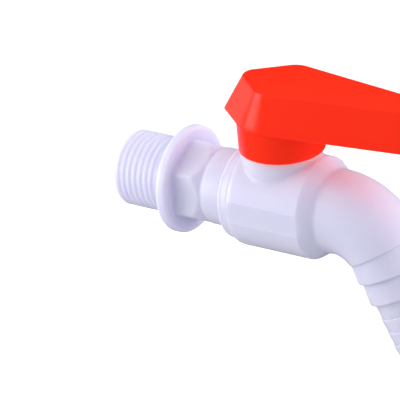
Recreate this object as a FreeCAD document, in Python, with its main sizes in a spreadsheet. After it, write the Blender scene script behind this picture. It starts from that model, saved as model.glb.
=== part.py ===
import FreeCAD, Part
import Sketcher
import math
import os

# Quarter-turn plastic bib tap with a lever handle and a hose tail, in millimetres.
# The origin is the middle of the flange face that seats on the supply fitting.
# The pipe runs along +X from that face, and the lever turns about +Z.

SIZES = {
    # Where the valve stands on the pipe line
    "valve_offset": 32.7,
    # Inlet connector
    "thread_radius": 10.4775,
    "thread_length": 16.7,
    "thread_lead": 0.8,
    "inlet_bore": 6.4,
    "flange_radius": 14.9,
    "flange_thickness": 3.45,
    "flange_round": 1.1,
    "hex_across": 20.9,
    "hex_length": 8.0,
    "hex_end_radius": 10.2,
    "hex_bevel_angle": 30.0,
    "neck_radius": 10.6,
    "neck_length": 6.6,
    "spigot_length": 8.0,
    "spigot_gap": 0.05,
    "spigot_lead": 0.4,
    "ring_groove_place": 1.3,
    "ring_groove_width": 2.3,
    "ring_groove_depth": 1.45,
    # Tap body around the ball
    "rim_radius": 12.2,
    "body_left": 14.0,
    "rim_bevel": 0.7,
    "band_length": 2.3,
    "band_radius": 13.35,
    "band_step": 0.15,
    "shoulder_length": 1.9,
    "shoulder_round": 2.6,
    "body_radius": 14.2,
    "body_right": 12.0,
    "body_right_round": 1.6,
    "cone_angle": 34.0,
    "cone_round": 3.0,
    "flat_distance": 13.87,
    "flat_end_distance": 11.45,
    "cavity_radius": 10.05,
    "collar_radius": 10.8,
    "collar_height": 15.2,
    "bonnet_radius": 8.0,
    "bonnet_height": 19.6,
    "body_chamfer": 0.4,
    # Quarter-turn stops
    "stop_height": 2.2,
    "stop_angle": 10.0,
    "stop_play": 1.5,
    "stop_ring_gap": 0.2,
    "quarter_turn": 90.0,
    # Spout and hose tail
    "spout_start": 17.54,
    "spout_radius": 11.57,
    "spout_end_radius": 10.68,
    "bend_radius": 15.68,
    "bend_angle": 65.52,
    "taper_angle": 59.56,
    "outlet_bore": 6.0,
    "tier_one_start": 10.3,
    "tier_one_radius": 10.55,
    "tier_one_end": 4.9,
    "tier_two_start": 9.45,
    "tier_two_radius": 9.85,
    "tier_two_end": 11.5,
    "tier_round": 0.6,
    "barb_radius": 8.75,
    "barb_first": 15.94,
    "barb_pitch": 3.94,
    "barb_fall": 0.45,
    "barb_step": 0.15,
    "barb_root": 8.67,
    "barb_root_end": 8.4,
    "tail_chamfer": 0.8,
    # Ball, seats and rings
    "ball_radius": 9.3,
    "ball_bore": 5.75,
    "slot_width": 4.5,
    "slot_floor": 6.9,
    "seat_gap": 0.1,
    "seat_bore": 6.2,
    "seat_front": 5.4,
    "seat_back": 9.2,
    "seat_radius": 8.6,
    "seat_rebate": 1.2,
    "seat_lip": 7.1,
    "pocket_floor": 9.4,
    "pocket_gap": 0.05,
    "pocket_mouth": 6.0,
    "ring_gap": 0.05,
    # Stem
    "stem_radius": 5.05,
    "stem_gap": 0.12,
    "blade_thickness": 4.3,
    "blade_width": 9.0,
    "blade_gap": 0.1,
    "shoulder_base": 10.4,
    "shoulder_top": 12.1,
    "shoulder_reach": 6.2,
    "shoulder_gap": 0.1,
    "groove_depth": 1.3,
    "groove_width": 2.0,
    "groove_low": 13.4,
    "groove_high": 16.5,
    "seal_gap": 0.1,
    "square_base": 20.0,
    "square_top": 24.5,
    "square_width": 7.0,
    "waist_radius": 3.1,
    "snap_base": 25.95,
    "snap_radius": 3.9,
    "snap_land": 0.65,
    "snap_tip_radius": 2.6,
    "snap_top": 28.3,
    "split_width": 1.3,
    "split_length": 12.0,
    # Lever handle
    "boss_radius": 11.76,
    "boss_draft": 1.6,
    "boss_base": 15.54,
    "skirt_radius": 9.6,
    "head_base": 24.0,
    "head_top": 35.69,
    "head_round": 12.2,
    "nose_reach": 17.8,
    "nose_round": 2.2,
    "top_nose_reach": 11.2,
    "top_nose_round": 2.6,
    "top_corner_x": 0.75,
    "top_corner_y": 7.75,
    "top_corner_round": 3.0,
    "lever_reach": 58.0,
    "lever_tip_round": 4.6,
    "top_tip_reach": 57.0,
    "top_tip_round": 3.0,
    "top_edge_bevel": 0.5,
    "wall": 2.0,
    "top_wall": 2.2,
    "rib_thickness": 1.8,
    "rib_recess": 1.2,
    "skirt_rise": 2.0,
    "hub_radius": 6.6,
    "socket_gap": 0.06,
    "socket_depth": 4.6,
    "lip_depth": 1.2,
    "lip_gap": 0.15,
    "chamber_gap": 0.2,
    "chamber_top": 29.0,
    "stop_rib_inner": 8.35,
    "stop_rib_base": 15.9,
}

XY = "XY_Plane"
XZ = "XZ_Plane"
YZ = "YZ_Plane"


class Size:
    """A number together with the expression that ties it to the sheet."""

    def __init__(self, value, text):
        self.value = float(value)
        self.text = text

    def __add__(self, other):
        other = as_size(other)
        return Size(self.value + other.value, f"({self.text} + {other.text})")

    def __sub__(self, other):
        other = as_size(other)
        return Size(self.value - other.value, f"({self.text} - {other.text})")

    def __mul__(self, other):
        other = as_size(other)
        return Size(self.value * other.value, f"({self.text} * {other.text})")

    def __truediv__(self, other):
        other = as_size(other)
        return Size(self.value / other.value, f"({self.text} / {other.text})")

    def __neg__(self):
        return Size(-self.value, f"(0 - {self.text})")


def as_size(number):
    """A plain number as a Size."""
    return number if isinstance(number, Size) else Size(number, repr(float(number)))


def root(size):
    """Square root."""
    return Size(math.sqrt(size.value), f"sqrt({size.text})")


def sine(angle):
    """Sine of an angle in degrees."""
    angle = as_size(angle)
    return Size(math.sin(math.radians(angle.value)), f"sin({angle.text} * 1 deg)")


def cosine(angle):
    """Cosine of an angle in degrees."""
    angle = as_size(angle)
    return Size(math.cos(math.radians(angle.value)), f"cos({angle.text} * 1 deg)")


def other_leg(long_side, leg):
    """The other leg of a right-angled triangle."""
    return root(long_side * long_side - leg * leg)


class Sheet:
    """The spreadsheet of driving sizes, read as attributes."""

    def __init__(self, document, sizes):
        self.table = document.addObject("Spreadsheet::Sheet", "Sizes")
        for row, (name, value) in enumerate(sizes.items(), start=1):
            self.table.set(f"A{row}", name)
            self.table.set(f"B{row}", str(value))
            self.table.setAlias(f"B{row}", name)
        document.recompute()
        self.sizes = sizes

    def __getattr__(self, name):
        return Size(self.sizes[name], f"Sizes.{name}")


doc = FreeCAD.newDocument("bib_tap")
at = Sheet(doc, SIZES)
nodes = []


# Helpers for objects and sketches

def bind(item, name, size):
    """Tie one property of an object to the sheet."""
    item.setExpression(name, as_size(size).text)


def keep(item, label):
    """Register a finished sub-part, which stands at the valve's place on the pipe line."""
    item.Label = label
    bind(item, "Placement.Base.x", at.valve_offset)
    nodes.append(item)
    return item


def new_body(name):
    """An empty body."""
    return doc.addObject("PartDesign::Body", name)


def origin_plane(body, role):
    """One of the body's own origin planes."""
    return next(item for item in body.Origin.OriginFeatures if item.Role == role)


def new_sketch(body, name, role, lift=0, shift=None, turn=None):
    """A sketch on an origin plane, lifted along its normal, or shifted and turned within it."""
    sketch = body.newObject("Sketcher::SketchObject", name)
    sketch.AttachmentSupport = (origin_plane(body, role), [""])
    sketch.MapMode = "FlatFace"
    bind(sketch, "AttachmentOffset.Base.z", lift)
    if shift is not None:
        bind(sketch, "AttachmentOffset.Base.x", shift[0])
        bind(sketch, "AttachmentOffset.Base.y", shift[1])
    if turn is not None:
        sketch.AttachmentOffset.Rotation.Axis = FreeCAD.Vector(0, 0, 1)
        bind(sketch, "AttachmentOffset.Rotation.Angle", turn)
    return sketch


def pin_point(sketch, edge, end, x, y):
    """Fix one end of an edge at a place given by two sizes."""
    for kind, axis, size in (("DistanceX", -2, x), ("DistanceY", -1, y)):
        if isinstance(size, int) and size == 0:
            sketch.addConstraint(Sketcher.Constraint("PointOnObject", edge, end, axis))
            continue
        size = as_size(size)
        row = sketch.addConstraint(Sketcher.Constraint(kind, -1, 1, edge, end, size.value))
        sketch.setExpression(f"Constraints[{row}]", size.text)


def number(size):
    """The value of a size or of a plain number."""
    return as_size(size).value


def draw_arc(start, end, radius):
    """Arc between two points; a positive radius bends to the left on the way from start to end."""
    chord = end - start
    middle = (start + end) * 0.5
    rise = math.sqrt(max(radius * radius - chord.Length ** 2 / 4, 0))
    normal = FreeCAD.Vector(-chord.y, chord.x, 0).normalize()
    centre = middle + normal * math.copysign(rise, radius)
    axis = FreeCAD.Vector(0, 0, 1)
    circle = Part.Circle(centre, axis, abs(radius))
    first = math.atan2(start.y - centre.y, start.x - centre.x)
    last = math.atan2(end.y - centre.y, end.x - centre.x)
    if radius > 0:
        return Part.ArcOfCircle(circle, first, last), 1, 2
    return Part.ArcOfCircle(circle, last, first), 2, 1


def draw(sketch, corners, closed=True):
    """Draw an outline whose corners are (x, y), or (x, y, radius) where an arc leads there."""
    spots = [FreeCAD.Vector(number(corner[0]), number(corner[1]), 0) for corner in corners]
    ends = []
    first = 0 if closed else 1
    for index in range(first, len(corners)):
        corner = corners[index]
        start = spots[index - 1]
        end = spots[index]
        if len(corner) == 2:
            edge = sketch.addGeometry(Part.LineSegment(start, end))
            ends.append((edge, 1, 2))
        else:
            radius = as_size(corner[2])
            arc, begin, finish = draw_arc(start, end, radius.value)
            edge = sketch.addGeometry(arc)
            ends.append((edge, begin, finish))
            row = sketch.addConstraint(Sketcher.Constraint("Radius", edge, abs(radius.value)))
            sign = "" if radius.value > 0 else "-1 * "
            sketch.setExpression(f"Constraints[{row}]", sign + radius.text)
        pin_point(sketch, edge, ends[-1][2], corner[0], corner[1])
    for before, after in zip(ends, ends[1:] + ends[:1] if closed else ends[1:]):
        sketch.addConstraint(Sketcher.Constraint("Coincident", before[0], before[2], after[0], after[1]))
    if not closed:
        pin_point(sketch, ends[0][0], ends[0][1], corners[0][0], corners[0][1])
    return sketch


def draw_circle(sketch, radius, x=0, y=0):
    """Draw one circle."""
    centre = FreeCAD.Vector(number(x), number(y), 0)
    circle = sketch.addGeometry(Part.Circle(centre, FreeCAD.Vector(0, 0, 1), number(radius)))
    row = sketch.addConstraint(Sketcher.Constraint("Radius", circle, number(radius)))
    sketch.setExpression(f"Constraints[{row}]", as_size(radius).text)
    pin_point(sketch, circle, 3, x, y)
    return sketch


def rectangle(width, depth):
    """The corners of a rectangle about the origin."""
    x = width / 2
    y = depth / 2
    return [(-x, -y), (x, -y), (x, y), (-x, y)]


def feature(body, kind, name, profile, **links):
    """A feature made from a profile."""
    item = body.newObject(f"PartDesign::{kind}", name)
    item.Profile = profile
    for key, value in links.items():
        setattr(item, key, value)
    return item


def revolve(body, kind, name, profile, axis):
    """A full turn of a profile about one of its own axes."""
    item = feature(body, kind, name, profile, ReferenceAxis=(profile, [axis]))
    item.Angle = 360
    return item


def raise_pad(body, name, profile, height):
    """Material from the sketch plane along its normal."""
    item = feature(body, "Pad", name, profile)
    bind(item, "Length", height)
    return item


def sink_pocket(body, name, profile, depth):
    """A cut from the sketch plane along its normal, which must remove material."""
    doc.recompute()
    before = body.Shape.Volume
    item = feature(body, "Pocket", name, profile, Reversed=True)
    bind(item, "Length", depth)
    doc.recompute()
    if body.Shape.Volume > before - 1e-3:
        raise RuntimeError(f"{name} cuts nothing")
    return item


def flat_ring(label, inner, outer, left, right):
    """A flat-sided rubber ring around the pipe line."""
    body = new_body(label + "_body")
    section = [(left, inner), (right, inner), (right, outer), (left, outer)]
    profile = draw(new_sketch(body, label + "_profile", XZ), section)
    revolve(body, "Revolution", label + "_turned", profile, "H_Axis")
    return keep(body, label)


def round_ring(label, ring_radius, section_radius, height):
    """A round rubber ring about the stem."""
    ring = doc.addObject("Part::Torus", label)
    bind(ring, "Radius1", ring_radius)
    bind(ring, "Radius2", section_radius)
    bind(ring, "Placement.Base.z", height)
    return keep(ring, label)


# Values that several sub-parts share

thread_end = -(at.valve_offset + at.thread_length)
flange_left = -at.valve_offset
flange_right = flange_left + at.flange_thickness
hex_end = flange_right + at.hex_length
body_face = -at.body_left
pocket_radius = at.seat_radius + at.pocket_gap
spigot_radius = at.cavity_radius - at.spigot_gap
spigot_end = body_face + at.spigot_length
ring_groove_left = body_face + at.ring_groove_place
ring_groove_right = ring_groove_left + at.ring_groove_width
ring_groove_floor = spigot_radius - at.ring_groove_depth
stem_bore = at.stem_radius + at.stem_gap
stem_groove_floor = at.stem_radius - at.groove_depth
bend_x = at.spout_start + at.bend_radius * sine(at.bend_angle)
bend_z = at.bend_radius * cosine(at.bend_angle) - at.bend_radius
barb_count = 5
tail_length = at.barb_first + at.barb_pitch * (barb_count - 1)


# Inlet connector: thread, flange, hexagon, neck and the spigot that closes the body

def make_connector():
    body = new_body("InletConnector")
    corner_radius = at.hex_across / math.sqrt(3)
    bevel = (corner_radius - at.hex_end_radius) * cosine(at.hex_bevel_angle) / sine(at.hex_bevel_angle)
    neck_start = body_face - at.neck_length
    outline = [
        (thread_end, at.inlet_bore),
        (thread_end, at.thread_radius - at.thread_lead),
        (thread_end + at.thread_lead, at.thread_radius),
        (flange_left, at.thread_radius),
        (flange_left, at.flange_radius),
        (flange_right, at.flange_radius),
        (flange_right, corner_radius),
        (hex_end - bevel, corner_radius),
        (hex_end, at.hex_end_radius),
        (neck_start, at.hex_end_radius),
        (neck_start, at.neck_radius),
        (body_face, at.neck_radius),
        (body_face, spigot_radius),
        (ring_groove_left, spigot_radius),
        (ring_groove_left, ring_groove_floor),
        (ring_groove_right, ring_groove_floor),
        (ring_groove_right, spigot_radius),
        (spigot_end - at.spigot_lead, spigot_radius),
        (spigot_end, spigot_radius - at.spigot_lead),
        (spigot_end, pocket_radius),
        (-at.pocket_floor, pocket_radius),
        (-at.pocket_floor, at.inlet_bore),
    ]
    profile = draw(new_sketch(body, "ConnectorProfile", XZ), outline)
    revolve(body, "Revolution", "ConnectorTurned", profile, "H_Axis")
    cut = new_sketch(body, "HexCut", YZ, lift=flange_right)
    draw_circle(cut, at.flange_radius)
    half = at.hex_across / 2
    side = corner_radius
    draw(cut, [(half, -side / 2), (half, side / 2), (0, side), (-half, side / 2), (-half, -side / 2), (0, -side)])
    sink_pocket(body, "HexFlats", cut, at.hex_length)
    round_rims(body, "FlangeRounding", at.flange_radius, at.flange_round)
    return keep(body, "inlet_connector")


def round_rims(body, name, radius, round_size):
    """Round both circular rims of the given radius."""
    doc.recompute()
    base = body.Tip
    rims = []
    for index, edge in enumerate(base.Shape.Edges, start=1):
        if isinstance(edge.Curve, Part.Circle) and abs(edge.Curve.Radius - number(radius)) < 1e-4:
            rims.append(f"Edge{index}")
    item = body.newObject("PartDesign::Fillet", name)
    item.Base = (base, rims)
    bind(item, "Radius", round_size)
    return item


# Tap body: housing, collar, bonnet, stop ring, spout bend and hose tail in one moulding

def make_tap_body():
    body = new_body("TapBody")
    slope_sine = sine(at.cone_angle)
    slope_cosine = cosine(at.cone_angle)
    cone_end = at.body_right + (at.body_radius - at.spout_radius) * slope_cosine / slope_sine
    half_tangent = (as_size(1) - slope_cosine) / slope_sine
    upper = at.body_right_round * half_tangent
    lower = at.cone_round * half_tangent
    band_end = body_face + at.rim_bevel + at.band_length
    shoulder_end = band_end + at.shoulder_length
    outline = [
        (body_face, 0),
        (at.spout_start, 0),
        (at.spout_start, at.spout_radius),
        (cone_end + lower, at.spout_radius),
        (cone_end - lower * slope_cosine, at.spout_radius + lower * slope_sine, -at.cone_round),
        (at.body_right + upper * slope_cosine, at.body_radius - upper * slope_sine),
        (at.body_right - upper, at.body_radius, at.body_right_round),
        (shoulder_end, at.body_radius),
        (band_end, at.band_radius + at.band_step, at.shoulder_round),
        (band_end, at.band_radius),
        (body_face + at.rim_bevel, at.rim_radius + at.rim_bevel),
        (body_face, at.rim_radius),
    ]
    profile = draw(new_sketch(body, "HousingProfile", XZ), outline)
    revolve(body, "Revolution", "Housing", profile, "H_Axis")

    outside = at.body_radius * 2
    side_cut = [
        (body_face, at.flat_distance),
        (at.body_right, at.flat_distance),
        (at.spout_start, at.flat_end_distance),
        (at.spout_start, outside),
        (body_face, outside),
    ]
    flat = draw(new_sketch(body, "SideFlatPlan", XY, lift=-at.body_radius), side_cut)
    side = sink_pocket(body, "SideFlat", flat, at.body_radius * 2)
    mirror = body.newObject("PartDesign::Mirrored", "SideFlats")
    mirror.Originals = [side]
    mirror.MirrorPlane = (origin_plane(body, XZ), [""])
    body.Tip = mirror

    collar = draw_circle(new_sketch(body, "CollarPlan", XY), at.collar_radius)
    raise_pad(body, "Collar", collar, at.collar_height)
    stop_radius = at.skirt_radius - at.stop_ring_gap
    ring = draw_circle(new_sketch(body, "StopRingPlan", XY), stop_radius)
    raise_pad(body, "StopRing", ring, at.collar_height + at.stop_height)
    first = at.stop_angle + at.stop_play
    last = -(at.quarter_turn + first)
    middle = (first + last) / 2
    reach = at.collar_radius * 2
    window = [(0, 0)]
    for angle in (last, middle, first):
        window.append((reach * cosine(angle), reach * sine(angle)))
    gate = draw(new_sketch(body, "StopWindowPlan", XY, lift=at.collar_height), window)
    sink_pocket(body, "StopWindow", gate, at.stop_height)
    bonnet = draw_circle(new_sketch(body, "BonnetPlan", XY), at.bonnet_radius)
    raise_pad(body, "Bonnet", bonnet, at.bonnet_height)

    add_spout(body)

    cavity = [
        (body_face, 0),
        (at.pocket_floor, 0),
        (at.pocket_floor, pocket_radius),
        (at.pocket_mouth, pocket_radius),
        (at.pocket_mouth, at.cavity_radius),
        (body_face, at.cavity_radius),
    ]
    chamber = draw(new_sketch(body, "CavityProfile", XZ), cavity)
    revolve(body, "Groove", "Cavity", chamber, "H_Axis")
    add_waterway(body)
    counterbore = at.shoulder_reach + at.stem_gap
    ledge = at.shoulder_top + at.shoulder_gap
    bore = [
        (0, 0),
        (counterbore, 0),
        (counterbore, ledge),
        (stem_bore, ledge),
        (stem_bore, at.bonnet_height - at.body_chamfer),
        (stem_bore + at.body_chamfer, at.bonnet_height),
        (0, at.bonnet_height),
    ]
    stem_hole = draw(new_sketch(body, "StemBoreProfile", XZ), bore)
    revolve(body, "Groove", "StemBore", stem_hole, "V_Axis")
    return keep(body, "tap_body")


def bend_point(angle):
    """A point of the spout's centre line, an angle along its bend."""
    return (at.spout_start + at.bend_radius * sine(angle), at.bend_radius * cosine(angle) - at.bend_radius)


def add_spout(body):
    """The tapering bend, the plain tube inside it and the turned hose tail."""
    start = new_sketch(body, "SpoutStart", YZ, lift=at.spout_start)
    draw_circle(start, at.spout_radius)
    end = new_sketch(body, "SpoutEnd", YZ)
    x, z = bend_point(at.taper_angle)
    end.AttachmentOffset = FreeCAD.Placement(
        FreeCAD.Vector(0, z.value, x.value),
        FreeCAD.Rotation(FreeCAD.Vector(1, 0, 0), at.taper_angle.value),
    )
    bind(end, "AttachmentOffset.Base.z", x)
    bind(end, "AttachmentOffset.Base.y", z)
    bind(end, "AttachmentOffset.Rotation.Angle", at.taper_angle)
    draw_circle(end, at.spout_end_radius)
    path = new_sketch(body, "TaperPath", XZ)
    draw(path, [(at.spout_start, 0), (x, z, -at.bend_radius)], closed=False)
    taper = feature(body, "AdditivePipe", "SpoutBend", start, Spine=(path, ["Edge1"]))
    taper.Transformation = "Multisection"
    taper.Sections = [(end, [""])]

    inner = draw_circle(new_sketch(body, "InnerTubePlan", YZ, lift=at.spout_start), at.tier_one_start)
    full = new_sketch(body, "BendPath", XZ)
    draw(full, [(at.spout_start, 0), (bend_x, bend_z, -at.bend_radius)], closed=False)
    feature(body, "AdditivePipe", "InnerTube", inner, Spine=(full, ["Edge1"]))

    tail = [
        (0, 0),
        (0, at.tier_one_start),
        (at.tier_one_end - at.tier_round, at.tier_one_radius),
        (at.tier_one_end, at.tier_one_radius - at.tier_round, -at.tier_round),
        (at.tier_one_end, at.tier_two_start),
        (at.tier_two_end - at.tier_round, at.tier_two_radius),
        (at.tier_two_end, at.tier_two_radius - at.tier_round, -at.tier_round),
        (at.tier_two_end, at.barb_root),
        (at.barb_first, at.barb_root_end),
    ]
    for index in range(barb_count - 1):
        place = at.barb_first + at.barb_pitch * index
        crest = at.barb_radius - at.barb_step * index
        tail.append((place, crest))
        tail.append((place + at.barb_pitch, crest - at.barb_fall))
    x, y = tail.pop()
    tail.append((x - at.tail_chamfer, y))
    tail.append((x, y - at.tail_chamfer))
    tail.append((x, 0))
    profile = new_sketch(body, "TailProfile", XZ, shift=(bend_x, bend_z), turn=-at.bend_angle)
    draw(profile, tail)
    revolve(body, "Revolution", "HoseTail", profile, "H_Axis")


def add_waterway(body):
    """The round waterway from the outlet seat to the end of the hose tail."""
    mouth = draw_circle(new_sketch(body, "WaterwayPlan", YZ, lift=at.pocket_floor), at.outlet_bore)
    path = new_sketch(body, "WaterwayPath", XZ)
    end = (bend_x + tail_length * cosine(at.bend_angle), bend_z - tail_length * sine(at.bend_angle))
    draw(path, [(at.pocket_floor, 0), (at.spout_start, 0), (bend_x, bend_z, -at.bend_radius), end], closed=False)
    doc.recompute()
    before = body.Shape.Volume
    cut = feature(body, "SubtractivePipe", "Waterway", mouth, Spine=(path, ["Edge1", "Edge2", "Edge3"]))
    doc.recompute()
    if body.Shape.Volume > before - 1e-3:
        raise RuntimeError("the waterway cuts nothing")
    return cut


# Ball with its bore and the slot that takes the stem's blade

def make_ball():
    sphere = doc.addObject("Part::Sphere", "BallBlank")
    bind(sphere, "Radius", at.ball_radius)
    bore = doc.addObject("Part::Cylinder", "BallBore")
    bind(bore, "Radius", at.ball_bore)
    bind(bore, "Height", at.ball_radius * 2)
    bore.Placement.Rotation = FreeCAD.Rotation(FreeCAD.Vector(0, 1, 0), 90)
    bind(bore, "Placement.Base.x", -at.ball_radius)
    slot = doc.addObject("Part::Box", "BallSlot")
    bind(slot, "Length", at.slot_width)
    bind(slot, "Width", at.ball_radius * 2)
    bind(slot, "Height", at.ball_radius - at.slot_floor)
    bind(slot, "Placement.Base.x", -at.slot_width / 2)
    bind(slot, "Placement.Base.y", -at.ball_radius)
    bind(slot, "Placement.Base.z", at.slot_floor)
    bored = doc.addObject("Part::Cut", "BallBored")
    bored.Base = sphere
    bored.Tool = bore
    ball = doc.addObject("Part::Cut", "Ball")
    ball.Base = bored
    ball.Tool = slot
    return keep(ball, "ball")


# Seat rings, one on each side of the ball, each pressed on it by a rubber cushion ring

def make_seats():
    reach = at.ball_radius + at.seat_gap
    rebate_face = at.seat_back - at.seat_rebate
    outline = [
        (at.seat_front, at.seat_radius),
        (at.seat_front, other_leg(reach, at.seat_front)),
        (other_leg(reach, at.seat_bore), at.seat_bore, -reach),
        (at.seat_back, at.seat_bore),
        (at.seat_back, at.seat_lip),
        (rebate_face, at.seat_lip),
        (rebate_face, at.seat_radius),
    ]
    left = rebate_face + at.ring_gap / 2
    right = at.pocket_floor - at.ring_gap / 2
    inner = at.seat_lip + at.ring_gap
    outer = at.seat_radius
    for side, turn in (("inlet", 180), ("outlet", 0)):
        body = new_body(side.capitalize() + "Seat")
        profile = draw(new_sketch(body, side.capitalize() + "SeatProfile", XZ), outline)
        revolve(body, "Revolution", side.capitalize() + "SeatTurned", profile, "H_Axis")
        body.Placement.Rotation = FreeCAD.Rotation(FreeCAD.Vector(0, 0, 1), turn)
        keep(body, f"{side}_seat")
        if side == "outlet":
            flat_ring("outlet_seat_cushion", inner, outer, left, right)
        else:
            flat_ring("inlet_seat_cushion", inner, outer, -right, -left)


# Stem: blade, thrust shoulder, two seal grooves, square and split snap head

def make_stem():
    body = new_body("Stem")
    groove_low_top = at.groove_low + at.groove_width
    groove_high_top = at.groove_high + at.groove_width
    outline = [
        (0, at.shoulder_base),
        (at.shoulder_reach, at.shoulder_base),
        (at.shoulder_reach, at.shoulder_top),
        (at.stem_radius, at.shoulder_top),
        (at.stem_radius, at.groove_low),
        (stem_groove_floor, at.groove_low),
        (stem_groove_floor, groove_low_top),
        (at.stem_radius, groove_low_top),
        (at.stem_radius, at.groove_high),
        (stem_groove_floor, at.groove_high),
        (stem_groove_floor, groove_high_top),
        (at.stem_radius, groove_high_top),
        (at.stem_radius, at.square_base),
        (at.waist_radius, at.square_base),
        (at.waist_radius, at.snap_base),
        (at.snap_radius, at.snap_base),
        (at.snap_radius, at.snap_base + at.snap_land),
        (at.snap_tip_radius, at.snap_top),
        (0, at.snap_top),
    ]
    profile = draw(new_sketch(body, "StemProfile", XZ), outline)
    revolve(body, "Revolution", "StemTurned", profile, "V_Axis")
    blade = draw(new_sketch(body, "BladePlan", XY, lift=at.slot_floor + at.blade_gap),
                 rectangle(at.blade_thickness, at.blade_width))
    raise_pad(body, "Blade", blade, at.shoulder_base - at.slot_floor - at.blade_gap)
    square = draw(new_sketch(body, "SquarePlan", XY, lift=at.square_base),
                  rectangle(at.square_width, at.square_width))
    raise_pad(body, "Square", square, at.square_top - at.square_base)
    split = draw(new_sketch(body, "SplitPlan", XY, lift=at.square_top),
                 rectangle(at.split_width, at.split_length))
    sink_pocket(body, "Split", split, at.snap_top - at.square_top)
    return keep(body, "stem")


def make_seals():
    """The rubber rings of the stem's two grooves and of the connector's groove."""
    section = (stem_bore - stem_groove_floor) / 2 - at.seal_gap
    ring_radius = (stem_bore + stem_groove_floor) / 2
    for name, base in (("lower", at.groove_low), ("upper", at.groove_high)):
        round_ring(f"{name}_stem_seal", ring_radius, section, base + at.groove_width / 2)
    flat_ring("connector_seal", ring_groove_floor + at.ring_gap, at.cavity_radius - at.ring_gap,
              ring_groove_left + at.ring_gap, ring_groove_right - at.ring_gap)


# Lever handle: a drafted shell over a round boss, with ribs, hub and stop rib inside

def tangent_outline(sketch, discs):
    """Draw the outline of discs (x, y, radius), in left-turning order, and their common tangents."""
    axis = FreeCAD.Vector(0, 0, 1)
    places = [[as_size(part) for part in disc] for disc in discs]
    arcs = []
    count = len(places)
    directions = []
    for index in range(count):
        x, y, radius = (part.value for part in places[index])
        next_x, next_y, next_radius = (part.value for part in places[(index + 1) % count])
        heading = math.atan2(next_y - y, next_x - x)
        lean = math.asin((next_radius - radius) / math.hypot(next_x - x, next_y - y))
        directions.append(heading + lean - math.pi / 2)
    for index in range(count):
        x, y, radius = (part.value for part in places[index])
        circle = Part.Circle(FreeCAD.Vector(x, y, 0), axis, radius)
        arcs.append(sketch.addGeometry(Part.ArcOfCircle(circle, directions[index - 1], directions[index])))
    lines = []
    for index in range(count):
        ends = []
        for spot in (index, (index + 1) % count):
            x, y, radius = (part.value for part in places[spot])
            angle = directions[index]
            ends.append(FreeCAD.Vector(x + radius * math.cos(angle), y + radius * math.sin(angle), 0))
        lines.append(sketch.addGeometry(Part.LineSegment(*ends)))
    for index in range(count):
        after = (index + 1) % count
        sketch.addConstraint(Sketcher.Constraint("Tangent", arcs[index], 2, lines[index], 1))
        sketch.addConstraint(Sketcher.Constraint("Tangent", lines[index], 2, arcs[after], 1))
    for arc, (x, y, radius), disc in zip(arcs, places, discs):
        row = sketch.addConstraint(Sketcher.Constraint("Radius", arc, radius.value))
        sketch.setExpression(f"Constraints[{row}]", radius.text)
        pin_point(sketch, arc, 3, disc[0], disc[1])
    return sketch


def head_discs(inset):
    """The discs of the handle's lower and upper outlines, drawn in by an inset."""
    nose = (-(at.nose_reach - at.nose_round), 0, at.nose_round - inset)
    tip = (at.lever_reach - at.lever_tip_round, 0, at.lever_tip_round - inset)
    boss = (0, 0, at.head_round - inset)
    lower = (nose, boss, tip, boss)
    top_nose = (-at.top_nose_reach + at.top_nose_round, 0, at.top_nose_round - inset)
    top_tip = (at.top_tip_reach - at.top_tip_round, 0, at.top_tip_round - inset)
    near = (at.top_corner_x, -at.top_corner_y, at.top_corner_round - inset)
    far = (at.top_corner_x, at.top_corner_y, at.top_corner_round - inset)
    upper = (top_nose, near, top_tip, far)
    return lower, upper


def loft_discs(body, name, lower, low, upper, high):
    """The drafted solid between a lower and an upper outline of discs."""
    base = tangent_outline(new_sketch(body, name + "Lower", XY, lift=low), lower)
    cap = tangent_outline(new_sketch(body, name + "Upper", XY, lift=high), upper)
    item = feature(body, "AdditiveLoft", name, base)
    item.Sections = [(cap, [""])]
    item.Ruled = True
    return item


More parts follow.
